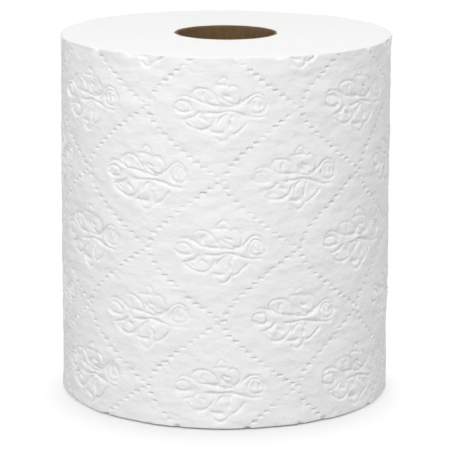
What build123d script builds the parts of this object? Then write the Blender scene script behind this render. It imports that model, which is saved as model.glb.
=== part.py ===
from build123d import *
import math
import os

# Toilet paper roll standing on its end. Units are millimetres, +Z is up, and the origin is the
# centre of the end it stands on. The front of the roll faces -Y. Places on the wall are given as
# an arc, measured along the outer turn from the front centre line towards +X, and a height.

# Roll and core
SHEET_WIDTH = 114.0         # slit width of the sheet, which is the height of the roll and its core
ROLL_DIAMETER = 104.0       # across the wound paper, at the free end of the sheet
SHEET_THICKNESS = 0.30      # one embossed layer, and so the step at the free end
FREE_END_ANGLE = 165.0      # degrees from the front to the sheet's free end, round by +X
CORE_BORE = 30.6            # inside diameter of the cardboard tube
CORE_WALL = 0.6             # thickness of the cardboard tube
GLUE_GAP = 0.05             # glue line between the tube and the first turn

# Embossed diamonds: upright zigzags of short dashes, mirrored so that neighbours nearly touch
COLUMN_PITCH = 23.7         # along the wall, from one line of corners to the next
ROW_PITCH = 21.5            # up the wall, from one line of corners to the next
FIRST_COLUMN = -1.2         # arc of the line of corners nearest the front centre line
FIRST_ROW = 12.3            # height of the lowest line of corners
DASHES_PER_SIDE = 11        # from one corner of a diamond up to the next
ZIGZAG_STAGGER = 0.5        # of a dash's rise, that each zigzag is out of step with its neighbours
DASH_LENGTH = 1.8           # along the wall
DASH_HEIGHT = 1.2
DASH_DEPTH = 0.45
DASH_STEEP_SIDE = 0.3       # from a dash's upper edge down to its deepest point

# Embossed sprigs, one in each diamond, drawn in tapered strokes
STROKE_DEPTH = 0.5

# The outer turn is drawn as upright flats, so many to each column of the embossing
FLATS_PER_COLUMN = 6
EDGE_MARGIN = 0.4           # least band of plain paper between a pressed mark and a cut edge
MARK_PROUD = 0.3            # how far each marking tool stands out of the wall

# Strokes of one sprig, from its centre: the two thin ends and the full side between them.
# Each stroke keeps to one flat of the wall.
SPRIG_STROKES = (
    ((-13.7, 0.9), (-10.2, 2.4), (-12.5, 3.0)),      # left bud
    ((-13.7, 0.4), (-10.3, -0.4), (-12.2, -1.3)),
    ((-8.2, 3.2), (-6.2, 6.2), (-8.0, 5.4)),         # upper left leaf
    ((-5.8, 6.3), (-2.3, 3.6), (-3.3, 5.9)),
    ((-1.6, 2.6), (0.6, 6.6), (-1.5, 5.1)),          # upper right leaf
    ((2.3, 6.4), (5.7, 3.2), (5.1, 5.9)),
    ((-0.9, 7.9), (1.7, 7.9), (0.4, 9.5)),           # top bud
    ((10.3, 3.2), (13.6, 0.7), (12.8, 2.9)),         # right bud
    ((-9.8, -2.5), (-6.2, -0.9), (-7.6, -0.4)),      # stem
    ((-1.8, -0.4), (1.8, -0.8), (0.1, 0.5)),
    ((6.2, -0.7), (9.8, -1.9), (8.3, -0.3)),
    ((-9.8, -3.8), (-6.3, -6.2), (-8.9, -5.8)),      # lower left leaf
    ((-5.7, -6.2), (-2.3, -3.2), (-3.1, -5.8)),
    ((-1.4, -4.4), (1.7, -2.0), (-0.5, -2.2)),       # lower right leaf
    ((2.5, -6.9), (5.8, -3.0), (5.3, -5.7)),
    ((-1.4, -7.2), (1.7, -7.5), (0.4, -9.4)),        # bottom bud
)

ROLL_RADIUS = ROLL_DIAMETER / 2
CORE_RADIUS = CORE_BORE / 2 + CORE_WALL
WINDING_RADIUS = CORE_RADIUS + GLUE_GAP
TURN_LENGTH = math.pi * ROLL_DIAMETER
FREE_END = math.radians(FREE_END_ANGLE) * ROLL_RADIUS
TURN_START = FREE_END - TURN_LENGTH
FLAT_WIDTH = COLUMN_PITCH / FLATS_PER_COLUMN
STAND_UP = (Align.CENTER, Align.CENTER, Align.MIN)


def wall_radius(arc):
    """Radius of the outer turn, which falls by one sheet from the free end back to its start."""
    return ROLL_RADIUS - SHEET_THICKNESS * (FREE_END - arc) / TURN_LENGTH


def wall_location(arc, height):
    """Place on the outer turn, with x along the sheet, y up and z out of the wall."""
    angle = arc / ROLL_RADIUS
    outward = Vector(math.sin(angle), -math.cos(angle), 0)
    along = Vector(math.cos(angle), math.sin(angle), 0)
    origin = outward * wall_radius(arc) + Vector(0, 0, height)
    return Plane(origin=origin, x_dir=along, z_dir=outward).location


def flat_edges():
    """Arcs of the edges between the flats, from the start of the outer turn to the free end."""
    first = math.ceil((TURN_START - FIRST_COLUMN) / FLAT_WIDTH + 0.5)
    last = math.floor((FREE_END - FIRST_COLUMN) / FLAT_WIDTH + 0.5)
    inner = [FIRST_COLUMN + FLAT_WIDTH * (k - 0.5) for k in range(first, last + 1)]
    kept = [arc for arc in inner if TURN_START + EDGE_MARGIN < arc < FREE_END - EDGE_MARGIN]
    return [TURN_START, *kept, FREE_END]


def plain_winding():
    """Wound sheet as one solid, with the step of its free end, before it is embossed."""
    outline = Polyline(*[wall_location(arc, 0).position for arc in flat_edges()], close=True)
    winding = extrude(make_face(outline), SHEET_WIDTH)
    return winding - Cylinder(WINDING_RADIUS, SHEET_WIDTH, align=STAND_UP)


def pressed_mark(corners, deepest, depth):
    """Pyramid that presses a three-cornered mark, drawn about its own deepest point."""
    spread = (depth + MARK_PROUD) / depth
    offsets = [((x - deepest[0]) * spread, (z - deepest[1]) * spread) for x, z in corners]
    rim = [Vector(x, z, MARK_PROUD) for x, z in offsets]
    tip = Vector(0, 0, -depth)
    sides = [Face(Wire.make_polygon([a, b, tip])) for a, b in zip(rim, rim[1:] + rim[:1])]
    return Solid(Shell([Face(Wire.make_polygon(rim)), *sides]))


def dash_mark():
    """Dash with a level upper edge, steep under it and shallow towards its lower corner."""
    half = DASH_LENGTH / 2
    top = DASH_HEIGHT / 2
    corners = [(-half, top), (0, -top), (half, top)]
    return pressed_mark(corners, (0, top - DASH_STEEP_SIDE), DASH_DEPTH)


def stroke_mark(corners):
    """Three-cornered stroke, deepest where its sides are equally far, and the place of that point."""
    edges = [math.dist(corners[1], corners[2]), math.dist(corners[2], corners[0]), math.dist(*corners[:2])]
    centre = tuple(sum(e * c[i] for e, c in zip(edges, corners)) / sum(edges) for i in (0, 1))
    return centre, pressed_mark(corners, centre, STROKE_DEPTH)


def column_numbers():
    """Numbers of the upright lines of corners, from just before the outer turn to just past it."""
    first = math.floor((TURN_START - FIRST_COLUMN) / COLUMN_PITCH)
    last = math.ceil((FREE_END - FIRST_COLUMN) / COLUMN_PITCH)
    return range(first, last + 1)


def row_numbers():
    """Numbers of the level lines of corners, from just under the roll to just over it."""
    first = math.floor(-FIRST_ROW / ROW_PITCH)
    last = math.ceil((SHEET_WIDTH - FIRST_ROW) / ROW_PITCH)
    return range(first, last + 1)


def dash_places():
    """Arc and height of every dash. Each side of a diamond leans the other way from the next."""
    run_step = COLUMN_PITCH / (DASHES_PER_SIDE + 1)
    rise_step = ROW_PITCH / DASHES_PER_SIDE
    places = []
    for column in column_numbers():
        stagger = rise_step * ZIGZAG_STAGGER / 2 * (1 if column % 2 else -1)
        for row in row_numbers():
            leans_right = (column + row) % 2 == 1
            for k in range(DASHES_PER_SIDE):
                run = run_step * (k + 0.5)
                across = run if leans_right else COLUMN_PITCH - run
                height = FIRST_ROW + ROW_PITCH * row + rise_step * k + stagger
                places.append((FIRST_COLUMN + COLUMN_PITCH * column + across, height))
    return places


def sprig_places():
    """Arc and height of the middle of every diamond."""
    return [
        (FIRST_COLUMN + COLUMN_PITCH * column, FIRST_ROW + ROW_PITCH * row)
        for column in column_numbers()
        for row in row_numbers()
        if (column + row) % 2 == 0
    ]


def is_on_sheet(mark, arc, height):
    """Whether a mark at this place clears the slit edges and the ends of the outer turn."""
    size = mark.bounding_box().size
    half_run = size.X / 2 + EDGE_MARGIN
    half_rise = size.Y / 2 + EDGE_MARGIN
    on_turn = TURN_START + half_run < arc < FREE_END - half_run
    return on_turn and half_rise < height < SHEET_WIDTH - half_rise


def embossing_tools():
    """Every pressed mark on the outer turn, in its place."""
    sprig = [stroke_mark(stroke) for stroke in SPRIG_STROKES]
    dash = dash_mark()
    placed = [(dash, arc, height) for arc, height in dash_places()]
    for arc, height in sprig_places():
        placed += [(mark, arc + x, height + z) for (x, z), mark in sprig]
    return [m.moved(wall_location(arc, height)) for m, arc, height in placed if is_on_sheet(m, arc, height)]


def paper_roll():
    """The wound sheet with its embossed outer turn."""
    return plain_winding().cut(*embossing_tools())


def cardboard_core():
    """The tube that the sheet is wound on, cut flush with it at both ends."""
    tube = Cylinder(CORE_RADIUS, SHEET_WIDTH, align=STAND_UP)
    return tube - Cylinder(CORE_BORE / 2, SHEET_WIDTH, align=STAND_UP)


os.makedirs("parts", exist_ok=True)
export_step(paper_roll(), "parts/paper_roll.step")
export_step(cardboard_core(), "parts/cardboard_core.step")
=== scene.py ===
"""Looks of a toilet paper roll: its embossed sheet, its cut ends and its cardboard core."""

import logging
import math
from abc import ABC, abstractmethod
from dataclasses import dataclass
from enum import Enum

import bpy
import numpy as np
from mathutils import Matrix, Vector


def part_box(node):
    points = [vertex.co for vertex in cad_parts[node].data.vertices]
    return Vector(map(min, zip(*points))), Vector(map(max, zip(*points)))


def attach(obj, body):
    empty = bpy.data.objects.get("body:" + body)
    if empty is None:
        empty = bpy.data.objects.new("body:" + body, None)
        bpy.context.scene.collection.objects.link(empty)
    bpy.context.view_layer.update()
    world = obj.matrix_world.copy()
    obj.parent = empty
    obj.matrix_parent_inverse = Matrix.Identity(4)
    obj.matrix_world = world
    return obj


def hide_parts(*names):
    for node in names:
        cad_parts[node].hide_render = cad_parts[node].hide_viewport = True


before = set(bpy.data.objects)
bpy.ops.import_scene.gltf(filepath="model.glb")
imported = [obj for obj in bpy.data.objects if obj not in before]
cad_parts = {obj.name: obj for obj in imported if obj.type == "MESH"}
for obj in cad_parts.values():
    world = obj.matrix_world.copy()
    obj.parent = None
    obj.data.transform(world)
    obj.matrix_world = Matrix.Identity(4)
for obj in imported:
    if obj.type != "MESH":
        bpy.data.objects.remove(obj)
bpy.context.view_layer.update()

LOG = logging.getLogger("toilet_paper_roll")
MM = 0.001              # one millimetre, in metres
CORE_WALL = 0.6         # thickness of the cardboard tube, in millimetres
GLUE_GAP = 0.05         # between the tube and the first turn, in millimetres
BLUR_REACH = 3.0        # margin of a blurred field, in its spreads
UNSPREAD = 0.01         # spread, in cells, that leaves a field as it is
LEAST_NORMAL = 1e-20    # keeps a normal of no length from dividing by zero

Point = tuple[float, float]
Colour = tuple[float, float, float]

WHITE = (1.0, 1.0, 1.0, 1.0)
Measure = np.ndarray | float
Socket = bpy.types.NodeSocket


class Press(Enum):
    """How hard a line of the sprig is pressed into the sheet, as a share of the full depth."""

    FAINT = 0.5
    PLAIN = 0.75
    FIRM = 1.05


class RollEnd(Enum):
    """The two cut ends of the roll."""

    LOWER = "lower"
    UPPER = "upper"


class LatticePoint(Enum):
    """Points of the diamonds' lattice, by whether column and row add up to an even number."""

    MIDDLE = 0
    LEFT_CORNER = 1


def smooth_step(share: np.ndarray) -> np.ndarray:
    """Eases a share from 0 to 1, and holds it there beyond."""
    share = np.clip(share, 0.0, 1.0)
    return share * share * (3.0 - 2.0 * share)


def soften(field: np.ndarray, spread: Point) -> np.ndarray:
    """Blurs a field of heights.

    Args:
        field: the heights, along the sheet and up it.
        spread: how far each height spreads, in cells along the sheet and up it.

    Returns:
        The blurred field, of the same shape.
    """
    margins = [int(BLUR_REACH * cells) + 1 for cells in spread]
    padded = np.pad(field, [(m, m) for m in margins], mode="symmetric")
    along = np.fft.fftfreq(padded.shape[0])[:, None] * spread[0]
    up = np.fft.rfftfreq(padded.shape[1])[None, :] * spread[1]
    kept = np.exp(-2.0 * (math.pi ** 2) * (along ** 2 + up ** 2))
    blurred = np.fft.irfft2(np.fft.rfft2(padded) * kept, s=padded.shape)
    inside = [slice(margin, margin + cells) for margin, cells in zip(margins, field.shape)]
    return blurred[tuple(inside)]


def even_noise(draws: np.random.Generator, shape: tuple[int, int], spread: Point) -> np.ndarray:
    """Draws soft random heights of unit deviation.

    Args:
        draws: the seeded source of random numbers.
        shape: the cells along the sheet and up it.
        spread: the size of the soft bumps, in cells along the sheet and up it.

    Returns:
        The heights, centred on zero.
    """
    field = soften(draws.standard_normal(shape), spread)
    return (field - field.mean()) / field.std()


def curve_through(points: tuple[Point, ...], steps: int = 10) -> np.ndarray:
    """Rounds a line of points into a smooth curve through all of them.

    Args:
        points: the places that the curve goes through.
        steps: how many short runs stand for each stretch between two points.

    Returns:
        The places along the curve, one to a row.
    """
    places = np.array(points, float)
    places = np.vstack([2 * places[0] - places[1], places, 2 * places[-1] - places[-2]])
    share = np.linspace(0.0, 1.0, steps, endpoint=False)[:, None]
    runs = []
    for before, start, end, after in zip(places, places[1:], places[2:], places[3:]):
        bend = 2 * before - 5 * start + 4 * end - after
        twist = 3 * start - before - 3 * end + after
        runs.append(start + 0.5 * share * ((end - before) + share * (bend + share * twist)))
    return np.vstack([*runs, places[-2]])


def between_cells(grid: np.ndarray, across: np.ndarray, up: np.ndarray) -> np.ndarray:
    """Reads a grid of values between its cells.

    Args:
        grid: the values, by column and row.
        across: places along its columns, in cells.
        up: places along its rows, in cells.

    Returns:
        The values at the places.
    """
    i = np.clip(across.astype(int), 0, grid.shape[0] - 2)
    j = np.clip(up.astype(int), 0, grid.shape[1] - 2)
    right = across - i
    above = up - j
    low = grid[i, j] * (1 - right) + grid[i + 1, j] * right
    high = grid[i, j + 1] * (1 - right) + grid[i + 1, j + 1] * right
    return low * (1 - above) + high * above


def round_places(angles: np.ndarray, radii: Measure, heights: Measure) -> np.ndarray:
    """Turns places round the roll's axis into points.

    Args:
        angles: angles from the front towards +X.
        radii: distances from the axis, in millimetres.
        heights: heights above the end that the roll stands on, in millimetres.

    Returns:
        The points in metres, one to a row.
    """
    angles, radii, heights = np.broadcast_arrays(angles, radii, heights)
    points = np.stack([radii * np.sin(angles), -radii * np.cos(angles), heights], axis=-1)
    return points.reshape(-1, 3) * MM


def ringed(numbers: np.ndarray) -> np.ndarray:
    """Numbers of a ring's points with the first again at the end."""
    return np.append(numbers, numbers[0])


@dataclass(frozen=True)
class Winding:
    """The wound sheet's sizes in millimetres, and places on its outer turn.

    A place is an arc along the outer turn, from the front centre line towards +X, and a height.
    """

    width: float
    bore_radius: float
    roll_radius: float = 52.0
    sheet_thickness: float = 0.30
    free_end_angle: float = 165.0
    loose_length: float = 21.0

    @property
    def turn_length(self) -> float:
        """Length of the sheet in its outer turn."""
        return 2.0 * math.pi * self.roll_radius

    @property
    def free_end(self) -> float:
        """Arc of the sheet's free end."""
        return math.radians(self.free_end_angle) * self.roll_radius

    @property
    def root(self) -> float:
        """Arc at which the loose end of the sheet leaves the turn under it."""
        return self.free_end - self.loose_length

    @property
    def start(self) -> float:
        """Arc of the same place as the root, one turn further in."""
        return self.root - self.turn_length

    def wall_radius(self, arcs: np.ndarray) -> np.ndarray:
        """Radius of the outer turn, which falls by one sheet over one turn."""
        return self.roll_radius - self.sheet_thickness * (self.free_end - arcs) / self.turn_length

    def places(self, arcs: np.ndarray, radii: Measure, heights: Measure) -> np.ndarray:
        """Points in metres at arcs along the outer turn, at distances from the axis and heights."""
        return round_places(arcs / self.roll_radius, radii, heights)


@dataclass(frozen=True)
class Stroke:
    """One pressed line of the sprig, through points in millimetres from the sprig's centre.

    Its breadth is a share of a plain line's. It eases in over the taper, a share of its length,
    and the blunt share of that easing is already past at its very ends.
    """

    points: tuple[Point, ...]
    press: Press = Press.PLAIN
    breadth: float = 1.0
    taper: float = 0.16
    blunt: float = 0.25

    def depth_share(self, across: np.ndarray, up: np.ndarray,
                    half_width: float) -> tuple[np.ndarray, np.ndarray]:
        """Measures the stroke over a grid.

        Args:
            across: distances of the grid's columns from the sprig's centre.
            up: distances of its rows from the centre.
            half_width: half the width of a plain line.

        Returns:
            The share of the full depth, and the distance to the stroke's line.
        """
        curve = curve_through(self.points)
        grid = np.stack(np.meshgrid(across, up, indexing="ij"), axis=-1)
        share = np.zeros(grid.shape[:2])
        nearest = np.full(grid.shape[:2], np.inf)
        for number, (start, end) in enumerate(zip(curve, curve[1:])):
            run = end - start
            along = np.clip(((grid - start) @ run) / (run @ run), 0.0, 1.0)
            distance = np.linalg.norm(grid - start - along[..., None] * run, axis=-1)
            place = (number + along) / (len(curve) - 1)
            fade = smooth_step(np.minimum(place, 1.0 - place) / self.taper + self.blunt)
            profile = np.exp(-((distance / (half_width * self.breadth)) ** 2))
            share = np.maximum(share, fade * profile)
            nearest = np.minimum(nearest, distance)
        return share * self.press.value, nearest


# Leaves, buds and stem of one sprig, from its left bud across the stem to its lower leaves
SPRIG_STROKES = (
    # Left bud
    Stroke(((-13.9, 1.2), (-13.2, 2.3), (-11.7, 2.6), (-10.1, 2.2), (-9.2, 1.0), (-9.6, 0.0))),
    Stroke(((-14.0, 0.5), (-13.2, -0.4), (-11.8, -0.8), (-10.2, -0.7), (-9.0, -0.2)),
           Press.FIRM, breadth=1.5),
    # Upper edge of the stem, round both buds
    Stroke(((-13.6, 3.0), (-12.4, 3.8), (-10.9, 4.1), (-9.2, 3.6)), Press.FAINT),
    Stroke(((-9.8, 3.8), (-8.3, 3.2), (-6.5, 2.2))),
    Stroke(((-6.4, 2.1), (-5.4, 2.0), (-4.0, 1.9)), Press.FAINT),
    Stroke(((-4.4, 1.9), (-2.6, 1.5), (-0.6, 1.5)), Press.FIRM, breadth=1.7),
    Stroke(((-0.4, 1.4), (2.0, 0.95), (3.5, 0.9), (5.4, 1.3), (6.5, 2.3), (8.2, 3.9), (9.4, 4.7))),
    Stroke(((8.8, 4.4), (10.5, 5.0), (12.2, 4.3), (13.3, 2.6), (14.0, 0.8)), Press.FAINT),
    # Upper left leaf
    Stroke(((-6.9, 2.4), (-8.2, 3.6), (-8.5, 5.1), (-7.3, 6.2), (-5.3, 6.4), (-3.5, 5.9),
            (-2.0, 4.7), (-1.0, 3.2), (-0.6, 2.0)), Press.FAINT, breadth=1.2),
    Stroke(((-4.9, 5.0), (-5.5, 4.0), (-5.2, 3.0)), Press.FAINT, breadth=1.4),
    # Upper right leaf
    Stroke(((-2.3, 7.1), (0.0, 7.3), (2.3, 7.1)), Press.FAINT, breadth=1.4),
    Stroke(((2.7, 6.5), (3.9, 7.0), (5.2, 6.3), (6.1, 4.6), (6.1, 3.0)), Press.FAINT),
    Stroke(((6.1, 3.2), (5.7, 2.1), (4.7, 1.5), (3.5, 1.7)), Press.FIRM, breadth=1.2),
    Stroke(((-0.2, 4.2), (0.9, 3.2), (2.0, 2.5), (3.0, 1.6)), Press.FAINT, breadth=1.3),
    Stroke(((1.1, 4.6), (1.9, 4.1), (2.9, 3.9)), Press.FIRM, breadth=1.2),
    # Top bud
    Stroke(((-0.9, 8.0), (-0.4, 9.1), (0.8, 9.6), (1.8, 9.1), (2.1, 8.1)), Press.FAINT),
    # Right bud
    Stroke(((12.4, -0.5), (11.2, -0.9), (9.6, -0.6), (8.5, 0.3), (8.3, 1.5), (9.0, 2.9)),
           Press.FAINT, breadth=1.2),
    Stroke(((8.8, 2.6), (9.6, 3.6), (10.8, 3.9), (12.3, 3.1), (13.2, 1.4), (13.1, 0.0),
            (12.2, -0.6)), Press.FAINT),
    Stroke(((10.2, 2.9), (9.9, 1.9), (10.6, 0.9)), Press.FAINT, breadth=1.3),
    Stroke(((11.8, 2.2), (12.0, 1.0)), Press.FAINT, breadth=1.3),
    # Lower edge of the stem
    Stroke(((-4.4, -0.9), (-2.5, -0.9), (-0.6, -0.8), (1.0, -0.5), (2.4, -0.4), (4.2, -0.8),
            (6.2, -1.3), (7.8, -1.8)), Press.FIRM, breadth=1.3),
    Stroke(((6.6, -1.4), (8.2, -1.9), (10.4, -2.2), (12.4, -2.2)), Press.FAINT, breadth=1.2),
    # Lower left leaf
    Stroke(((-11.6, -3.3), (-10.2, -3.0), (-8.8, -2.5))),
    Stroke(((-9.6, -2.8), (-7.9, -2.1), (-6.8, -0.9)), Press.FIRM, breadth=1.5),
    Stroke(((-11.2, -3.7), (-9.6, -5.0), (-7.6, -5.9), (-5.7, -6.2), (-4.0, -5.6), (-2.7, -4.4),
            (-1.8, -3.1), (-1.6, -2.2)), Press.FAINT, breadth=1.2),
    Stroke(((-7.6, -5.9), (-5.7, -6.2), (-4.0, -5.6)), Press.FIRM, breadth=1.4),
    Stroke(((-6.2, -2.6), (-5.2, -2.9), (-4.6, -3.4)), breadth=1.4),
    Stroke(((-9.2, -3.6), (-8.4, -4.3)), Press.FAINT, breadth=1.3),
    # Lower right leaf
    Stroke(((1.7, -1.1), (0.4, -1.7), (-0.6, -2.8), (-1.2, -4.2))),
    Stroke(((2.3, -3.7), (2.6, -4.6), (2.5, -5.4)), breadth=1.6),
    Stroke(((3.3, -1.5), (2.9, -2.8)), Press.FAINT),
    Stroke(((3.3, -7.4), (5.0, -6.6), (6.6, -5.2), (7.9, -3.6)), Press.FIRM),
    # Bottom bud
    Stroke(((-2.6, -6.6), (-1.5, -6.9), (-0.3, -7.0), (0.6, -6.9)), Press.FIRM, breadth=2.0),
    Stroke(((-1.8, -7.9), (-1.0, -9.0), (0.4, -9.6), (1.8, -9.0), (2.8, -7.8), (3.0, -6.6)),
           Press.FAINT, breadth=1.3),
)


@dataclass(frozen=True)
class Sprig:
    """A leafy sprig, pressed in narrow lines that leave the leaves between them puffed.

    Its sizes are in millimetres. The puff rises over its reach from a line and fades further off.
    """

    strokes: tuple[Stroke, ...] = SPRIG_STROKES
    half_width: float = 18.0
    half_height: float = 13.5
    line_half_width: float = 0.27
    line_depth: float = 0.52
    puff_height: float = 0.15
    puff_reach: float = 1.1
    puff_fade: float = 2.2
    cell: float = 0.1

    def pattern(self) -> tuple[np.ndarray, np.ndarray, np.ndarray]:
        """Works out the sprig once, on a fine grid of its own.

        Returns:
            The distances of the grid's columns and rows from the centre, and the relief there.
        """
        across = np.arange(-self.half_width, self.half_width + self.cell / 2, self.cell)
        up = np.arange(-self.half_height, self.half_height + self.cell / 2, self.cell)
        depth = np.zeros((len(across), len(up)))
        nearest = np.full(depth.shape, np.inf)
        for stroke in self.strokes:
            share, distance = stroke.depth_share(across, up, self.line_half_width)
            depth = np.maximum(depth, share)
            nearest = np.minimum(nearest, distance)
        puff = smooth_step(nearest / self.puff_reach) * np.exp(-((nearest / self.puff_fade) ** 2))
        return across, up, self.puff_height * puff - self.line_depth * depth


@dataclass(frozen=True)
class Dash:
    """One short dash, with a steep upper edge and a shallow ramp up to its lower edge."""

    length: float = 2.1
    height: float = 1.05
    depth: float = 0.58
    steep_side: float = 0.32
    end_round: float = 0.45
    reach: float = 1.4

    def relief(self, across: np.ndarray, up: np.ndarray, share: float) -> np.ndarray:
        """Height of the sheet round one dash.

        Args:
            across: distances along the sheet from the dash's middle.
            up: distances up the sheet from its middle.
            share: the dash's length and depth, as a share of a whole one.

        Returns:
            The relief, zero or less.
        """
        ends = smooth_step((self.length * share / 2 - np.abs(across)) / self.end_round)
        ramp = (up + self.height / 2) / (self.height - self.steep_side)
        step = (self.height / 2 - up) / self.steep_side
        return -self.depth * share * ends * smooth_step(np.minimum(ramp, step))


@dataclass(frozen=True)
class Embossing:
    """Diamonds of dashes with a sprig in each, and the soft puckers that the press leaves.

    Pitches, sizes and depths are in millimetres. The press is uneven by the scatter, within the
    limits, and the sprigs drift with the stretch of the sheet. All random heights are seeded.
    """

    winding: Winding
    dash: Dash = Dash()
    sprig: Sprig = Sprig()
    column_pitch: float = 23.7
    row_pitch: float = 21.5
    first_column: float = -1.2
    first_row: float = 12.3
    side_line: tuple[Point, ...] = ((0.8, 0.0), (2.7, 4.4), (8.6, 10.0), (16.6, 16.3), (22.6, 20.4))
    dashes_per_side: int = 12
    corner_share: float = 0.85
    dash_scatter: float = 0.10
    valley_depth: float = 0.20
    valley_spread: float = 1.8
    valley_percentile: float = 98.0
    billow_height: float = 0.12
    billow_size: float = 5.0
    billow_stretch: float = 1.5
    press_scatter: float = 0.26
    press_size: float = 1.5
    press_limits: Point = (0.5, 1.4)
    press_drift: float = 0.20
    drift_size: float = 2.2
    pucker_height: float = 0.14
    pucker_size: float = 0.7
    seed: int = 20

    def numbers(self, first: float, pitch: float, low: float, high: float) -> range:
        """Numbers of the lattice lines from just before one limit to just past the other."""
        return range(math.floor((low - first) / pitch) - 1, math.ceil((high - first) / pitch) + 2)

    def lattice(self, arcs: np.ndarray, kind: LatticePoint) -> list[Point]:
        """Lists every point of one kind on the lattice.

        Args:
            arcs: the arcs that the sheet covers.
            kind: which points.

        Returns:
            The arc and height of each point.
        """
        return [
            (self.first_column + self.column_pitch * column, self.first_row + self.row_pitch * row)
            for column in self.numbers(self.first_column, self.column_pitch, arcs[0], arcs[-1])
            for row in self.numbers(self.first_row, self.row_pitch, 0.0, self.winding.width)
            if (column + row) % 2 == kind.value
        ]

    def side(self) -> list[tuple[float, float, float]]:
        """Sets out the dashes of one side of a diamond, evenly along its line.

        The line leaves a rounded left corner steeply and reaches a sharp right corner flatter.

        Returns:
            Each dash's arc and height from the left corner's lattice point, and its share of a
            whole dash.
        """
        curve = curve_through(self.side_line)
        run = np.append(0.0, np.cumsum(np.linalg.norm(np.diff(curve, axis=0), axis=1)))
        stops = np.linspace(0.0, run[-1], self.dashes_per_side + 1)
        arcs, heights = (np.interp(stops, run, curve[:, axis]) for axis in (0, 1))
        shares = np.ones(len(stops))
        shares[-1] = self.corner_share
        return list(zip(arcs, heights, shares))

    def dash_places(self, arcs: np.ndarray) -> list[tuple[float, float, float]]:
        """Lists every dash of the outer turn.

        Args:
            arcs: the arcs that the sheet covers.

        Returns:
            The arc and height of each dash, and its share of a whole dash.
        """
        side = self.side()
        places = []
        for arc, height in self.lattice(arcs, LatticePoint.LEFT_CORNER):
            places += [(arc + run, height + rise, share) for run, rise, share in side]
            places += [(arc + run, height - rise, share) for run, rise, share in side[1:]]
        return places

    def press_dashes(self, relief: np.ndarray, arcs: np.ndarray, heights: np.ndarray) -> None:
        """Presses every dash into the relief.

        Args:
            relief: the field that is pressed, along the sheet and up it.
            arcs: the arcs of its cells.
            heights: the heights of its cells.
        """
        draws = np.random.default_rng(self.seed)
        reach = np.array([-self.dash.reach, self.dash.reach])
        for arc, height, share in self.dash_places(arcs):
            off_arc, off_height = draws.normal(0.0, self.dash_scatter, 2)
            i = slice(*np.searchsorted(arcs, arc + reach))
            j = slice(*np.searchsorted(heights, height + reach))
            across = arcs[i, None] - arc - off_arc
            up = heights[None, j] - height - off_height
            relief[i, j] += self.dash.relief(across, up, share)

    def press_sprigs(self, relief: np.ndarray, arcs: np.ndarray, heights: np.ndarray) -> None:
        """Presses every sprig into the relief.

        Args:
            relief: the field that is pressed, along the sheet and up it.
            arcs: the arcs of its cells.
            heights: the heights of its cells.
        """
        columns, rows, pattern = self.sprig.pattern()
        draws = np.random.default_rng(self.seed + 2)
        size = (self.drift_size / (arcs[1] - arcs[0]), self.drift_size / (heights[1] - heights[0]))
        drifts = [self.press_drift * even_noise(draws, relief.shape, size) for _ in range(2)]
        for arc, height in self.lattice(arcs, LatticePoint.MIDDLE):
            i = slice(*np.searchsorted(arcs, [arc + columns[0], arc + columns[-1]]))
            j = slice(*np.searchsorted(heights, [height + rows[0], height + rows[-1]]))
            across = (arcs[i, None] + drifts[0][i, j] - arc - columns[0]) / self.sprig.cell
            up = (heights[None, j] + drifts[1][i, j] - height - rows[0]) / self.sprig.cell
            if across.size and up.size:
                relief[i, j] += between_cells(pattern, across, up)

    def relief(self, arcs: np.ndarray, heights: np.ndarray) -> np.ndarray:
        """Works out how far the sheet stands out of the plain wall.

        Args:
            arcs: evenly spaced arcs along the sheet.
            heights: evenly spaced heights up it.

        Returns:
            The relief in millimetres, along the sheet and up it.
        """
        marks = np.zeros((len(arcs), len(heights)))
        self.press_dashes(marks, arcs, heights)
        self.press_sprigs(marks, arcs, heights)
        cells = (1.0 / (arcs[1] - arcs[0]), 1.0 / (heights[1] - heights[0]))
        pressed = soften(np.maximum(-marks, 0.0), tuple(self.valley_spread * c for c in cells))
        pressed = pressed / np.percentile(pressed, self.valley_percentile)
        draws = np.random.default_rng(self.seed + 1)
        stretched = (self.billow_stretch * self.billow_size * cells[0], self.billow_size * cells[1])
        billow = even_noise(draws, marks.shape, stretched)
        firmness = even_noise(draws, marks.shape, tuple(self.press_size * c for c in cells))
        pucker = even_noise(draws, marks.shape, tuple(self.pucker_size * c for c in cells))
        marks = marks * np.clip(1.0 + self.press_scatter * firmness, *self.press_limits)
        folds = self.pucker_height * np.clip(pressed, 0.0, 1.0) * pucker
        return marks + (self.billow_height * billow + folds) - self.valley_depth * pressed


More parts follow.
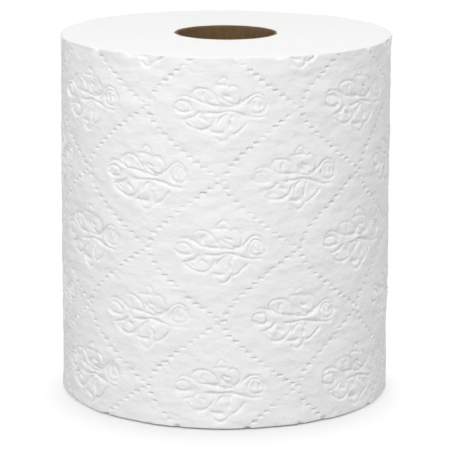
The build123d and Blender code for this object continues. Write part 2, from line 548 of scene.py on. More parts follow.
class MeshDraft:
    """Points and faces of one piece while it is built."""

    def __init__(self) -> None:
        """Starts with no points and no faces."""
        self.points: list[np.ndarray] = []
        self.faces: list[list[int]] = []
        self.count = 0

    def add_points(self, points: np.ndarray, shape: tuple[int, ...]) -> np.ndarray:
        """Adds points.

        Args:
            points: the points in metres, one to a row.
            shape: the shape in which their numbers are wanted.

        Returns:
            The points' numbers.
        """
        numbers = np.arange(self.count, self.count + len(points)).reshape(shape)
        self.points.append(points)
        self.count += len(points)
        return numbers

    def add_strip(self, first: np.ndarray, second: np.ndarray) -> None:
        """Adds four-sided faces between two lines of points.

        Args:
            first: numbers of the points of one line.
            second: numbers of the points of the line on its left, seen from outside.
        """
        faces = np.stack([first[:-1], first[1:], second[1:], second[:-1]], axis=-1)
        self.faces += faces.tolist()

    def add_grid(self, numbers: np.ndarray) -> None:
        """Adds the faces of a whole grid, which look out where it runs right and then up."""
        for first, second in zip(numbers.T, numbers.T[1:]):
            self.add_strip(first, second)

    def make(self, name: str) -> bpy.types.Object:
        """Makes the piece in the scene, smooth shaded.

        Args:
            name: the piece's name.

        Returns:
            The new object.
        """
        mesh = bpy.data.meshes.new(name)
        mesh.from_pydata(np.vstack(self.points).tolist(), [], self.faces)
        mesh.polygons.foreach_set("use_smooth", [True] * len(mesh.polygons))
        mesh.update()
        piece = bpy.data.objects.new(name, mesh)
        bpy.context.scene.collection.objects.link(piece)
        return piece


def steady_normals(mesh: bpy.types.Mesh) -> None:
    """Shades each point mostly like its largest faces, so that no mark smears over plain paper.

    Args:
        mesh: a mesh of triangles.
    """
    points = np.empty(len(mesh.vertices) * 3)
    mesh.vertices.foreach_get("co", points)
    corners = np.empty(len(mesh.polygons) * 3, int)
    mesh.polygons.foreach_get("vertices", corners)
    points, corners = points.reshape(-1, 3), corners.reshape(-1, 3)
    first, second, third = (points[corners[:, k]] for k in range(3))
    areas = np.cross(second - first, third - first)
    normals = np.zeros_like(points)
    for k in range(3):
        np.add.at(normals, corners[:, k], areas)
    normals /= np.maximum(np.linalg.norm(normals, axis=1), LEAST_NORMAL)[:, None]
    mesh.normals_split_custom_set_from_vertices(normals.tolist())


def count_triangles(mesh: bpy.types.Mesh) -> int:
    """Number of triangles that a mesh's faces make."""
    return sum(len(face.vertices) - 2 for face in mesh.polygons)


def simplify(piece: bpy.types.Object, triangles: int) -> None:
    """Thins a piece's mesh, most where it is smoothest, to a number of triangles.

    Args:
        piece: the piece, with no modifiers and one vertex group, whose points are all kept.
        triangles: how many triangles it keeps.
    """
    thin = piece.modifiers.new("thin", "DECIMATE")
    thin.ratio = triangles / count_triangles(piece.data)
    thin.use_collapse_triangulate = True
    thin.vertex_group = piece.vertex_groups[0].name
    thin.invert_vertex_group = True
    thinned = piece.evaluated_get(bpy.context.evaluated_depsgraph_get())
    finished = bpy.data.meshes.new_from_object(thinned)
    piece.modifiers.clear()
    piece.vertex_groups.clear()
    full = piece.data
    piece.data = finished
    finished.name = piece.name
    bpy.data.meshes.remove(full)
    finished.polygons.foreach_set("use_smooth", [True] * len(finished.polygons))
    finished.update()
    steady_normals(finished)


class NodeSheet:
    """The nodes of a material or of the world, added and joined by short calls."""

    def __init__(self, owner: bpy.types.Material | bpy.types.World) -> None:
        """Opens the nodes.

        Args:
            owner: the new material or world.
        """
        owner.use_nodes = True
        self.nodes = owner.node_tree.nodes
        self.links = owner.node_tree.links

    def add(self, kind: str, inputs: dict | None = None, **settings: object) -> bpy.types.Node:
        """Adds one node.

        Args:
            kind: the node's type name.
            inputs: what its sockets hold or are joined to, by name or number.
            settings: its own settings.

        Returns:
            The new node.
        """
        node = self.nodes.new(kind)
        for setting, value in settings.items():
            setattr(node, setting, value)
        self.fill(node, inputs or {})
        return node

    def fill(self, node: bpy.types.Node, inputs: dict) -> None:
        """Joins a node's sockets to outputs, or sets them to values.

        Args:
            node: the node.
            inputs: what its sockets hold or are joined to, by name or number.
        """
        for socket, value in inputs.items():
            if isinstance(value, Socket):
                self.links.new(value, node.inputs[socket])
            else:
                node.inputs[socket].default_value = value

    def place(self, flatness: float = 1.0) -> Socket:
        """Reads the place on the object.

        Args:
            flatness: what its height is multiplied by.

        Returns:
            The place, in metres.
        """
        place = self.add("ShaderNodeTexCoord").outputs["Object"]
        inputs = {"Vector": place, "Scale": (1.0, 1.0, flatness)}
        return self.add("ShaderNodeMapping", inputs).outputs[0]

    def work_out(self, operation: str, first: object, second: object = 0.0) -> Socket:
        """Result of one operation on two values."""
        return self.add("ShaderNodeMath", {0: first, 1: second}, operation=operation).outputs[0]

    def blend(self, share: Socket, low: Colour, high: Colour) -> Socket:
        """Blends two colours.

        Args:
            share: the share of the second colour.
            low: the first colour.
            high: the second colour.

        Returns:
            The colour between them.
        """
        ramp = self.add("ShaderNodeValToRGB", {0: share})
        ramp.color_ramp.elements[0].color = (*low, 1.0)
        ramp.color_ramp.elements[1].color = (*high, 1.0)
        return ramp.outputs["Color"]

    def bump(self, height: Socket, depth: float, below: Socket | None = None) -> Socket:
        """Fine relief that is too small for the mesh.

        Args:
            height: the relief, from 0 to 1.
            depth: its full depth in millimetres.
            below: the relief that it lies on, if there is any.

        Returns:
            The surface direction.
        """
        inputs = {"Height": height, "Distance": depth * MM, "Strength": 1.0}
        if below is not None:
            inputs["Normal"] = below
        return self.add("ShaderNodeBump", inputs).outputs["Normal"]

    def seen_directly(self) -> Socket:
        """Tells what the camera sees from what only lights the roll.

        Returns:
            A value of 1 for what it sees directly, mirrored in a gloss or through glass.
        """
        rays = self.add("ShaderNodeLightPath").outputs
        straight = self.work_out("MAXIMUM", rays["Is Camera Ray"], rays["Is Glossy Ray"])
        return self.work_out("MAXIMUM", straight, rays["Is Transmission Ray"])


@dataclass(frozen=True)
class Grain:
    """Soft random pattern of a surface, with sizes in millimetres.

    It has bumps of its full size and some layers of finer ones, as many times lower than they are
    wide as its flatness says. Its depth is that of its relief.
    """

    size: float
    layers: float = 2.0
    depth: float = 0.0
    flatness: float = 1.0

    def values(self, sheet: NodeSheet) -> Socket:
        """Adds the pattern's values.

        Args:
            sheet: the material's nodes.

        Returns:
            The values, from 0 to 1.
        """
        place = sheet.place(self.flatness)
        inputs = {"Vector": place, "Scale": 1.0 / (self.size * MM), "Detail": self.layers}
        return sheet.add("ShaderNodeTexNoise", inputs).outputs["Fac"]

    def relief(self, sheet: NodeSheet, below: Socket | None = None) -> Socket:
        """Surface direction with the pattern as fine relief, on the relief below it."""
        return sheet.bump(self.values(sheet), self.depth, below)


@dataclass(frozen=True)
class Finish(ABC):
    """A finish: two shades that mix in a pattern, with a relief, a roughness and a gloss."""

    name: str
    shade: Colour
    light: Colour
    roughness: float = 0.95
    gloss: float = 0.1
    sheen: float = 0.0

    @abstractmethod
    def pattern(self, sheet: NodeSheet) -> tuple[Socket, Socket]:
        """Adds the finish's own nodes.

        Args:
            sheet: the material's nodes.

        Returns:
            The share of the lighter shade, and the surface direction.
        """

    def material(self) -> bpy.types.Material:
        """Makes the material.

        Returns:
            The new material.
        """
        material = bpy.data.materials.new(self.name)
        sheet = NodeSheet(material)
        tone, direction = self.pattern(sheet)
        sheet.fill(sheet.nodes["Principled BSDF"], {
            "Base Color": sheet.blend(tone, self.shade, self.light),
            "Normal": direction,
            "Roughness": self.roughness,
            "Specular IOR Level": self.gloss,
            "Sheen Weight": self.sheen,
        })
        return material


@dataclass(frozen=True)
class TissueFinish(Finish):
    """Soft white creped tissue, whose creases and crepe run round the roll."""

    name: str = "white_embossed_tissue"
    shade: Colour = (0.885, 0.885, 0.885)
    light: Colour = (0.925, 0.925, 0.925)
    sheen: float = 0.05
    mottle: Grain = Grain(9.0, 4.0)
    crease: Grain = Grain(8.0, 1.0, 0.85, flatness=1.8)
    crepe: Grain = Grain(2.4, 3.0, 0.24, flatness=1.8)
    fibre: Grain = Grain(0.8, 2.0, 0.07)

    def pattern(self, sheet: NodeSheet) -> tuple[Socket, Socket]:
        """Mottled shade, and creases with crepe and fibres on them."""
        crepe = self.crepe.relief(sheet, self.crease.relief(sheet))
        return self.mottle.values(sheet), self.fibre.relief(sheet, crepe)


@dataclass(frozen=True)
class CutTurnsFinish(Finish):
    """Cut edges of the wound turns, seen on the roll's ends, in shades painted paler than the same
    tissue on the wall: partly painted light for the lit top end.
    """

    name: str = "cut_turns_painted_paler"
    # Painted light: both shades are paler than the wall's tissue so that the top end looks as
    # bright as lit from above; the lower end gets them too
    shade: Colour = (0.915, 0.915, 0.91)
    light: Colour = (0.95, 0.95, 0.945)
    roughness: float = 0.97
    turn: float = 0.30
    turn_depth: float = 0.035
    band: Grain = Grain(1.6, 3.0, 0.05)
    fuzz: Grain = Grain(0.5, 2.0, 0.03)

    def turns(self, sheet: NodeSheet) -> tuple[Socket, Socket]:
        """Works out where a point lies in the winding.

        Args:
            sheet: the material's nodes.

        Returns:
            The distance from the axis in millimetres, and the count of turns along the spiral.
        """
        axes = sheet.add("ShaderNodeSeparateXYZ", {0: sheet.place()}).outputs
        squares = [sheet.work_out("MULTIPLY", axes[name], axes[name]) for name in ("X", "Y")]
        distance = sheet.work_out("SQRT", sheet.work_out("ADD", *squares))
        radius = sheet.work_out("MULTIPLY", distance, 1.0 / MM)
        layers = sheet.work_out("MULTIPLY", radius, 1.0 / self.turn)
        angle = sheet.work_out("ARCTAN2", axes["Y"], axes["X"])
        share = sheet.work_out("MULTIPLY", angle, 0.5 / math.pi)
        return radius, sheet.work_out("SUBTRACT", layers, share)

    def pattern(self, sheet: NodeSheet) -> tuple[Socket, Socket]:
        """Adds the bands of looser and tighter turns, the edge of each turn and the fuzz.

        Args:
            sheet: the material's nodes.

        Returns:
            The share of the lighter shade, and the surface direction.
        """
        radius, layers = self.turns(sheet)
        inputs = {"W": radius, "Scale": 1.0 / self.band.size, "Detail": self.band.layers}
        bands = sheet.add("ShaderNodeTexNoise", inputs, noise_dimensions="1D").outputs["Fac"]
        edge = sheet.work_out("MULTIPLY", sheet.work_out("PINGPONG", layers, 0.5), 2.0)
        ridges = sheet.bump(bands, self.band.depth, sheet.bump(edge, self.turn_depth))
        return bands, self.fuzz.relief(sheet, ridges)


@dataclass(frozen=True)
class BoardFinish(Finish):
    """Brown cardboard, with fibres that run up the tube and flecks between them."""

    roughness: float = 0.85
    gloss: float = 0.2
    fibre: Grain = Grain(1.2, 4.0, 0.04, flatness=0.4)
    fibre_share: float = 0.6
    fleck: Grain = Grain(5.0, 3.0)

    def pattern(self, sheet: NodeSheet) -> tuple[Socket, Socket]:
        """Adds the fibres and the flecks.

        Args:
            sheet: the material's nodes.

        Returns:
            The share of the lighter shade, and the surface direction.
        """
        fibres = self.fibre.values(sheet)
        flecks = self.fleck.values(sheet)
        tone = sheet.work_out("ADD", sheet.work_out("MULTIPLY", fibres, self.fibre_share),
                              sheet.work_out("MULTIPLY", flecks, 1.0 - self.fibre_share))
        return tone, sheet.bump(fibres, self.fibre.depth)


INNER_PLY = BoardFinish("brown_core_board", (0.088, 0.052, 0.021), (0.255, 0.165, 0.086))
CUT_BOARD = BoardFinish("cut_core_board", (0.22, 0.155, 0.095), (0.34, 0.25, 0.165),
                        fibre=Grain(0.5, 4.0, 0.04))


@dataclass(frozen=True)
class EndDraft:
    """One cut end of the roll while it is built, ring by ring from the rim inwards."""

    side: RollEnd
    winding: Winding
    draft: MeshDraft

    def add_ring(self, arcs: np.ndarray, radii: np.ndarray, depths: Measure) -> np.ndarray:
        """Adds points at depths inside the end's plane and returns their numbers."""
        heights = depths if self.side is RollEnd.LOWER else self.winding.width - depths
        return self.draft.add_points(self.winding.places(arcs, radii, heights), (len(arcs),))

    def add_band(self, outer: np.ndarray, inner: np.ndarray) -> None:
        """Adds the faces between two rings of points, given by their numbers."""
        pair = (outer, inner) if self.side is RollEnd.UPPER else (inner, outer)
        self.draft.add_strip(*pair)

    def add_face(self, corners: list[int]) -> None:
        """Adds one face, with its corners in the order that the upper end has them."""
        numbers = [int(number) for number in corners]
        self.draft.faces.append(numbers if self.side is RollEnd.UPPER else numbers[::-1])


@dataclass
class PaperRoll:
    """The wound sheet: its embossed outer turn with the loose end, its two cut ends and its bore.

    Sizes are in millimetres, and spreads in cells of a grid. The bore and the inner part of the
    ends have one column for as many of the wall's columns as the coarseness says.
    """

    winding: Winding
    embossing: Embossing
    name: str = "embossed_paper_roll"
    cell: float = 0.23
    coarseness: int = 4
    rim_radius: float = 0.35
    rim_steps: int = 4
    rim_wave: float = 0.15
    rim_wave_size: float = 3.2
    rim_reach: float = 2.6
    sag_reach: float = 1.8
    end_sag: float = 0.08
    stand_off: float = 0.40
    ring_insets: tuple[float, ...] = (0.25, 0.6, 1.1, 1.7)
    ring_wave_reach: float = 1.1
    ring_step: float = 0.6
    ring_relief: float = 0.05
    band_count: int = 260
    band_spread: float = 2.0
    band_margin: float = 1.0
    loose_lift: float = 0.9
    corner_lift: float = 0.5
    corner_reach: float = 16.0
    press_room: float = 0.55
    tear_depth: float = 0.35
    tear_pitch: float = 4.6
    tear_root: float = 0.05
    tear_flank: float = 0.3
    tear_reach: float = 1.5
    fray: float = 0.06
    fray_spread: float = 1.2
    bore_rows: int = 10
    bore_edge: float = 0.1
    end_slope: float = 0.8
    wall_band: float = 1.0
    triangles: int = 190_000
    seed: int = 31

    def __post_init__(self) -> None:
        """Lays out the arcs and heights of the wall's grid."""
        turn = self.winding.turn_length
        self.around = self.coarseness * round(turn / self.cell / self.coarseness)
        step = turn / self.around
        loose = round(self.winding.loose_length / step)
        self.arcs = self.winding.start + step * np.arange(self.around + loose + 1)
        rows = round((self.winding.width - 2 * self.rim_radius) / self.cell) + 1
        low = self.sag(RollEnd.LOWER) + self.rim_radius
        high = self.winding.width - self.sag(RollEnd.UPPER) - self.rim_radius
        self.heights = np.linspace(low, high, rows)
        self.draws = np.random.default_rng(self.seed)

    def sag(self, end: RollEnd) -> float:
        """How far the outer turns fall short of an end's plane at its rim."""
        return self.stand_off if end is RollEnd.LOWER else self.end_sag

    def edge_distance(self) -> np.ndarray:
        """Distance of every height from the nearer slit edge."""
        return np.minimum(self.heights, self.winding.width - self.heights)

    def near_rim(self) -> np.ndarray:
        """Share from 1 at a rim to 0 well inside, for every height."""
        return np.exp(-((self.edge_distance() / self.rim_reach) ** 2))

    def outer_radii(self) -> np.ndarray:
        """Radius of the sheet's outer face over the wall and the loose end.

        The turn under the loose end is pressed in a little, which leaves room for it.

        Returns:
            The radii in millimetres, along the sheet and up it.
        """
        relief = self.embossing.relief(self.arcs, self.heights)
        spread = (self.rim_wave_size / self.cell, UNSPREAD)
        waves = even_noise(self.draws, (len(self.arcs), 1), spread)
        relief += self.rim_wave * waves * self.near_rim()[None, :]
        share = (self.arcs - self.winding.root) / self.winding.loose_length
        lift = self.loose_lift * np.clip(share, 0.0, 1.0)[:, None] ** 2
        turned_up = 1 - smooth_step(self.edge_distance() / self.corner_reach)
        lift = lift + self.corner_lift * (lift / self.loose_lift) * turned_up[None, :]
        covered = smooth_step(1 - (self.arcs - self.winding.start) / self.winding.loose_length)
        room = self.press_room * covered[:, None] * (1 - self.near_rim())[None, :]
        return self.winding.wall_radius(self.arcs)[:, None] + relief + lift - room

    def torn_arcs(self) -> np.ndarray:
        """Shape of the free end's edge, which is torn along its perforation.

        Returns:
            How far the edge falls short of the free end, for every height.
        """
        tooth = np.abs((self.heights / self.tear_pitch) % 1.0 - 0.5) * 2
        ragged = even_noise(self.draws, (1, len(self.heights)), (UNSPREAD, self.fray_spread))[0]
        notch = 1 - smooth_step((tooth - self.tear_root) / self.tear_flank)
        return self.tear_depth * notch + self.fray * np.abs(ragged)

    def wall(self, draft: MeshDraft, radii: np.ndarray) -> np.ndarray:
        """Adds the outer wall with the loose end.

        Args:
            draft: the mesh that is built.
            radii: the radii of the sheet's outer face.

        Returns:
            The numbers of the points of the outer face, along the sheet and up it.
        """
        torn = smooth_step((self.arcs - self.arcs[-1]) / self.tear_reach + 1)
        arcs = self.arcs[:, None] - self.torn_arcs()[None, :] * torn[:, None]
        outer = draft.add_points(self.winding.places(arcs, radii, self.heights), radii.shape)
        draft.add_grid(outer)
        loose = slice(self.around + 1, None)
        inner_radii = radii[loose] - self.winding.sheet_thickness
        points = self.winding.places(arcs[loose], inner_radii, self.heights)
        inner = np.vstack([outer[0], draft.add_points(points, inner_radii.shape)])
        draft.add_grid(inner[::-1])
        draft.add_grid(np.vstack([outer[-1], inner[-1]]))
        draft.add_strip(inner[:, 0], outer[self.around:, 0])
        draft.add_strip(outer[self.around:, -1], inner[:, -1])
        return outer

    def rim(self, end: EndDraft, edge: np.ndarray, radii: np.ndarray) -> np.ndarray:
        """Rounds the wall over into an end.

        Args:
            end: the end that is built.
            edge: numbers of the wall's last points, one more than there are columns.
            radii: their radii.

        Returns:
            The numbers of the points where the rounding ends.
        """
        arcs = self.arcs[:self.around + 1]
        for step in range(1, self.rim_steps + 1):
            turn = 0.5 * math.pi * step / self.rim_steps
            inset = self.rim_radius * (1 - math.cos(turn))
            depth = self.rim_radius * (1 - math.sin(turn)) + self.sag(end.side)
            line = end.add_ring(arcs, radii - inset, depth)
            end.add_band(edge, line)
            edge = line
        return edge

    def turn_bands(self) -> np.ndarray:
        """How far the turns stand back, from 0 to 1, in even steps from the axis past the wall."""
        bands = even_noise(self.draws, (self.band_count, 1), (self.band_spread, UNSPREAD))[:, 0]
        return (bands - bands.min()) / (bands.max() - bands.min())

    def ring_depths(self, end: RollEnd, insets: np.ndarray, radii: np.ndarray,
                    bands: np.ndarray) -> np.ndarray:
        """Depths of an end's points.

        Args:
            end: which end.
            insets: how far in from the rim the points lie.
            radii: their distances from the axis.
            bands: how far the turns stand back, by radius.

        Returns:
            The depths: turns that stand back a little, and the sag at the rim.
        """
        steps = np.linspace(0.0, self.winding.roll_radius + self.band_margin, len(bands))
        sag = self.sag(end) * np.exp(-((insets / self.sag_reach) ** 2))
        return self.ring_relief * np.interp(radii, steps, bands) + sag

    def cut_end(self, end: EndDraft, edge: np.ndarray, radii: np.ndarray) -> np.ndarray:
        """Adds the flat cut end, from the rim in to the bore.

        Args:
            end: the end that is built.
            edge: numbers of the points where the rim's rounding ends.
            radii: their radii.

        Returns:
            The numbers of the points round the bore, with the first again at the end.
        """
        bands = self.turn_bands()
        arcs = self.arcs[:self.around]
        plain = self.winding.wall_radius(arcs) - self.rim_radius
        wave = radii[:self.around] - plain
        line = edge
        for inset in self.ring_insets:
            ring = plain - inset + wave * math.exp(-((inset / self.ring_wave_reach) ** 2))
            depths = self.ring_depths(end.side, np.full(len(ring), inset), ring, bands)
            added = end.add_ring(arcs, ring, depths)
            if line is edge:
                end.add_band(edge[:-1], added)
                end.add_face([edge[-2], edge[-1], edge[0], added[0], added[-1]])
            else:
                end.add_band(ringed(line), ringed(added))
            line = added
        return self.coarse_rings(end, line, plain - self.ring_insets[-1], bands)

    def coarse_rings(self, end: EndDraft, line: np.ndarray, outer: np.ndarray,
                     bands: np.ndarray) -> np.ndarray:
        """Adds the inner part of an end, with fewer columns.

        Args:
            end: the end that is built.
            line: numbers of the innermost fine points.
            outer: their radii.
            bands: how far the turns stand back, by radius.

        Returns:
            The numbers of the points round the bore, with the first again at the end.
        """
        arcs = self.arcs[:self.around:self.coarseness]
        outer = outer[::self.coarseness]
        fine = ringed(line)
        count = round((outer.mean() - self.winding.bore_radius) / self.ring_step)
        previous = None
        for number in range(1, count + 1):
            ring = outer + (self.winding.bore_radius - outer) * number / count
            depths = self.ring_depths(end.side, self.winding.roll_radius - ring, ring, bands)
            added = ringed(end.add_ring(arcs, ring, depths))
            if previous is None:
                for k in range(len(arcs)):
                    first = self.coarseness * k
                    run = fine[first:first + self.coarseness + 1]
                    end.add_face([*run, added[k + 1], added[k]])
            else:
                end.add_band(previous, added)
            previous = added
        return previous

    def bore(self, draft: MeshDraft, lower: np.ndarray, upper: np.ndarray) -> None:
        """Adds the bore's wall between the two ends.

        Args:
            draft: the mesh that is built.
            lower: numbers of the points round the bore at the lower end.
            upper: the same at the upper end.
        """
        arcs = self.arcs[:self.around:self.coarseness]
        line = lower
        for row in range(1, self.bore_rows):
            height = self.winding.width * row / self.bore_rows
            points = self.winding.places(arcs, self.winding.bore_radius, height)
            added = ringed(draft.add_points(points, (len(arcs),)))
            draft.add_strip(added, line)
            line = added
        draft.add_strip(upper, line)

    def build(self) -> bpy.types.Object:
        """Builds the roll's mesh.

        Returns:
            The roll, in place.
        """
        draft = MeshDraft()
        radii = self.outer_radii()
        outer = self.wall(draft, radii)
        bores = []
        for side, row in ((RollEnd.LOWER, 0), (RollEnd.UPPER, -1)):
            end = EndDraft(side, self.winding, draft)
            edge_radii = radii[:self.around + 1, row]
            line = self.rim(end, outer[:self.around + 1, row], edge_radii)
            bores.append(self.cut_end(end, line, edge_radii - self.rim_radius))
        self.bore(draft, *bores)
        piece = draft.make(self.name)
        limit = (self.winding.bore_radius + self.bore_edge) * MM
        round_bore = [point.index for point in piece.data.vertices if point.co.xy.length < limit]
        piece.vertex_groups.new(name="bore_edge").add(round_bore, 1.0, "REPLACE")
        simplify(piece, self.triangles)
        return piece

    def dress(self, piece: bpy.types.Object) -> None:
        """Gives the wall and the cut ends their finishes; the cut ends' finish is painted paler
        than the wall, as painted light for the lit top end.

        Args:
            piece: the roll.
        """
        piece.data.materials.append(TissueFinish().material())
        # The cut ends' tissue is painted paler than the wall's: painted light for the top end
        piece.data.materials.append(CutTurnsFinish(turn=self.winding.sheet_thickness).material())
        limit = (self.winding.roll_radius - self.wall_band) * MM
        for face in piece.data.polygons:
            on_end = abs(face.normal.z) > self.end_slope and face.center.xy.length < limit
            face.material_index = int(on_end)

    def assemble(self) -> bpy.types.Object:
        """Builds and dresses the roll, and ties it to the frame.

        Returns:
            The roll.
        """
        piece = self.build()
        self.dress(piece)
        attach(piece, "root")
        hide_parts("paper_roll")
        return piece


@dataclass
class CardboardCore:
    """The spiral-wound tube, with the seam of its inner ply and its two cut ends.

    Sizes are in millimetres, and the ripples' spread in cells. The seam winds once round the tube
    over its lead, as a groove with a low step beside it that fades out across the ply.
    """

    outer_radius: float
    inner_radius: float
    width: float
    name: str = "spiral_wound_core"
    columns: int = 240
    row_step: float = 0.6
    seam_lead: float = 113.0
    seam_width: float = 1.058
    seam_depth: float = 0.12
    ply_step: float = 0.05
    ply_fade: float = 7.053
    edge_round: float = 0.12
    edge_reach: float = 0.3
    ripple: float = 0.012
    ripple_spread: float = 14.0
    end_slope: float = 0.7
    seed: int = 7

    def inner_radii(self, angles: np.ndarray, heights: np.ndarray) -> np.ndarray:
        """Radius of the inner wall, with the spiral seam and ripples that mostly stand inwards.

        Args:
            angles: angles round the tube.
            heights: heights up it.

        Returns:
            The radii in millimetres, round the tube and up it.
        """
        around = 2 * math.pi * self.inner_radius
        lean = math.atan2(around, self.seam_lead)
        lap = angles[:, None] / (2 * math.pi) - heights[None, :] / self.seam_lead
        across = (lap - np.floor(lap + 0.5)) * around * math.cos(lean)
        groove = self.seam_depth * np.exp(-((across / (self.seam_width / 2)) ** 2))
        step = self.ply_step * np.exp(-np.abs(across) / self.ply_fade) * (across > 0)
        draws = np.random.default_rng(self.seed)
        spread = (self.ripple_spread, self.ripple_spread)
        ripples = even_noise(draws, (len(angles), len(heights)), spread)
        return self.inner_radius + groove + step + self.ripple * (ripples - 1)

    def build(self) -> bpy.types.Object:
        """Builds the tube's mesh.

        Returns:
            The core, in place.
        """
        angles = np.linspace(0.0, 2 * math.pi, self.columns, endpoint=False)
        heights = np.linspace(0.0, self.width, round(self.width / self.row_step) + 1)
        distance = np.minimum(heights, self.width - heights)
        rounding = self.edge_round * np.exp(-((distance / self.edge_reach) ** 2))
        inner = self.inner_radii(angles, heights) + rounding[None, :]
        outer = np.broadcast_to(self.outer_radius - rounding[None, :], inner.shape)
        draft = MeshDraft()
        walls = []
        for radii in (outer, inner):
            numbers = draft.add_points(round_places(angles[:, None], radii, heights), radii.shape)
            walls.append(np.vstack([numbers, numbers[:1]]))
        outside, inside = walls
        draft.add_grid(outside)
        draft.add_grid(inside[::-1])
        draft.add_strip(outside[:, -1], inside[:, -1])
        draft.add_strip(inside[:, 0], outside[:, 0])
        return draft.make(self.name)

    def dress(self, piece: bpy.types.Object) -> None:
        """Gives the tube its brown board, and paler board at its cut ends.

        Args:
            piece: the core.
        """
        piece.data.materials.append(INNER_PLY.material())
        piece.data.materials.append(CUT_BOARD.material())
        for face in piece.data.polygons:
            face.material_index = int(abs(face.normal.z) > self.end_slope)

    def assemble(self) -> bpy.types.Object:
        """Builds and dresses the core, and ties it to the frame.

        Returns:
            The core.
        """
        piece = self.build()
        self.dress(piece)
        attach(piece, "root")
        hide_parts("cardboard_core")
        return piece


@dataclass(frozen=True)
class Lamp:
    """One soft lamp, by where it stands round the roll in degrees and metres."""

    name: str
    azimuth: float
    elevation: float
    distance: float
    size: float
    power: float

    def hang(self, target: Vector) -> None:
        """Adds the lamp, pointed at a target.

        Args:
            target: the point that it lights.
        """
        light = bpy.data.lights.new(self.name, "AREA")
        light.shape = "DISK"
        light.size = self.size
        light.energy = self.power
        lamp = bpy.data.objects.new(self.name, light)
        turn = math.radians(self.azimuth)
        rise = math.radians(self.elevation)
        level = Vector((math.sin(turn), -math.cos(turn), 0.0))
        away = level * math.cos(rise) + Vector((0.0, 0.0, math.sin(rise)))
        lamp.location = target + away * self.distance
        lamp.rotation_euler = away.to_track_quat("Z", "Y").to_euler()
        bpy.context.scene.collection.objects.link(lamp)


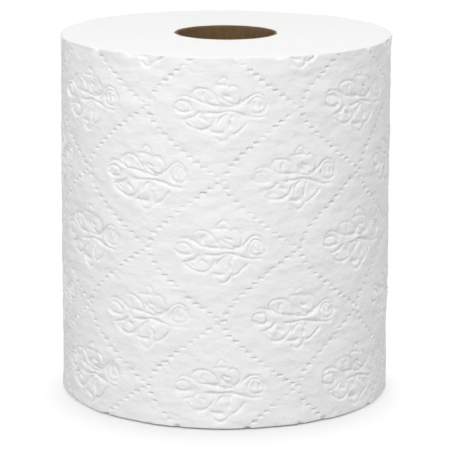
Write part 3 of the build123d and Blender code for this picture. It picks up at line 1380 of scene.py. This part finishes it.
@dataclass
class Studio:
    """A pale floor, a soft dome of light with two large lamps, and the camera.

    Lengths are in metres, angles in degrees, and the lens in millimetres.
    """

    centre: Vector
    floor_size: float = 8.0
    floor_colour: Colour = (0.80, 0.80, 0.80)
    floor_bounce: Colour = (0.55, 0.55, 0.55)
    floor_lift: float = 0.05
    fade_centre: tuple[float, float, float] = (0.0, -0.010, 0.0)
    fade_start: float = 0.040
    fade_end: float = 0.060
    horizon: float = 0.385
    zenith: float = 0.92
    lamps: tuple[Lamp, ...] = (
        Lamp("key_softbox", -13.0, 38.0, 1.0, 0.7, 4.4),
        Lamp("fill_softbox", 105.0, 20.0, 1.2, 0.6, 1.2),
    )
    camera_place: tuple[float, float, float] = (0.0, -0.7657, 0.2238)
    camera_pitch: float = 77.358
    camera_roll: float = 0.244
    lens: float = 196.8
    sensor_width: float = 36.0
    clip_start: float = 0.01

    def make_world(self) -> None:
        """Makes the dome: paler overhead than at the horizon, and white to the camera."""
        world = bpy.data.worlds.new("soft_dome")
        bpy.context.scene.world = world
        sheet = NodeSheet(world)
        direction = sheet.add("ShaderNodeTexCoord").outputs["Generated"]
        rise = sheet.add("ShaderNodeSeparateXYZ", {0: direction}).outputs["Z"]
        levels = {"Value": rise, "To Min": self.horizon, "To Max": self.zenith}
        strength = sheet.add("ShaderNodeMapRange", levels).outputs[0]
        dome = sheet.nodes["Background"]
        sheet.fill(dome, {"Color": WHITE, "Strength": strength})
        backdrop = sheet.add("ShaderNodeBackground", {"Color": WHITE})
        seen = {0: sheet.seen_directly(), 1: dome.outputs[0], 2: backdrop.outputs[0]}
        shown = sheet.add("ShaderNodeMixShader", seen).outputs[0]
        sheet.fill(sheet.nodes["World Output"], {"Surface": shown})

    def make_floor(self) -> None:
        """Makes the floor, which is white to the camera and keeps the roll's shadow."""
        half = self.floor_size / 2
        corners = [(-half, -half, 0), (half, -half, 0), (half, half, 0), (-half, half, 0)]
        mesh = bpy.data.meshes.new("studio_floor")
        mesh.from_pydata(corners, [], [(0, 1, 2, 3)])
        floor = bpy.data.objects.new("studio_floor", mesh)
        bpy.context.scene.collection.objects.link(floor)
        mesh.materials.append(self.floor_paint())

    def floor_paint(self) -> bpy.types.Material:
        """Makes the floor's material: pale near the roll, and plain white further off.

        Returns:
            The material.
        """
        material = bpy.data.materials.new("floor_paint")
        sheet = NodeSheet(material)
        sheet.nodes.remove(sheet.nodes["Principled BSDF"])
        ends = {0: sheet.place(), 1: self.fade_centre}
        distance = sheet.add("ShaderNodeVectorMath", ends, operation="DISTANCE").outputs["Value"]
        fade = {"Value": distance, "From Min": self.fade_start, "From Max": self.fade_end}
        far = sheet.add("ShaderNodeMapRange", fade, interpolation_type="SMOOTHSTEP").outputs[0]
        paint = sheet.add("ShaderNodeBsdfDiffuse", {"Color": (*self.floor_colour, 1.0)}).outputs[0]
        lift = sheet.add("ShaderNodeEmission", {"Strength": self.floor_lift}).outputs[0]
        white = sheet.add("ShaderNodeEmission", {"Strength": 1.0}).outputs[0]
        near = sheet.add("ShaderNodeAddShader", {0: paint, 1: lift}).outputs[0]
        shown = sheet.add("ShaderNodeMixShader", {0: far, 1: near, 2: white}).outputs[0]
        bounce = sheet.add("ShaderNodeBsdfDiffuse", {"Color": (*self.floor_bounce, 1.0)}).outputs[0]
        both = {0: sheet.seen_directly(), 1: bounce, 2: shown}
        surface = sheet.add("ShaderNodeMixShader", both).outputs[0]
        sheet.fill(sheet.nodes["Material Output"], {"Surface": surface})
        return material

    def make_camera(self) -> None:
        """Makes the camera at the photograph's view."""
        camera = bpy.data.objects.new("camera", bpy.data.cameras.new("camera"))
        bpy.context.scene.collection.objects.link(camera)
        camera.location = self.camera_place
        camera.rotation_euler = (math.radians(self.camera_pitch), 0.0, 0.0)
        camera.rotation_euler.rotate_axis("Z", math.radians(self.camera_roll))
        camera.data.lens = self.lens
        camera.data.sensor_width = self.sensor_width
        camera.data.clip_start = self.clip_start
        bpy.context.scene.camera = camera

    def assemble(self) -> None:
        """Lights the scene and sets the camera."""
        bpy.context.scene.view_settings.view_transform = "Standard"
        self.make_world()
        self.make_floor()
        for lamp in self.lamps:
            lamp.hang(self.centre)
        self.make_camera()


def report_piece(piece: bpy.types.Object) -> None:
    """Reports one piece's name and its count of triangles."""
    LOG.info("%s: %d triangles", piece.name, count_triangles(piece.data))


def main() -> None:
    """Builds the roll, its core and the studio, in that order."""
    logging.basicConfig(level=logging.INFO, format="%(name)s: %(message)s")
    low, high = (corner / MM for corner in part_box("paper_roll"))
    core_low, core_high = (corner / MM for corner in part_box("cardboard_core"))
    core_radius = (core_high.x - core_low.x) / 2
    winding = Winding(width=high.z - low.z, bore_radius=core_radius + GLUE_GAP)
    report_piece(PaperRoll(winding, Embossing(winding)).assemble())
    report_piece(CardboardCore(core_radius, core_radius - CORE_WALL, winding.width).assemble())
    Studio(centre=Vector((0.0, 0.0, winding.width / 2 * MM))).assemble()


if __name__ == "__main__":
    main()
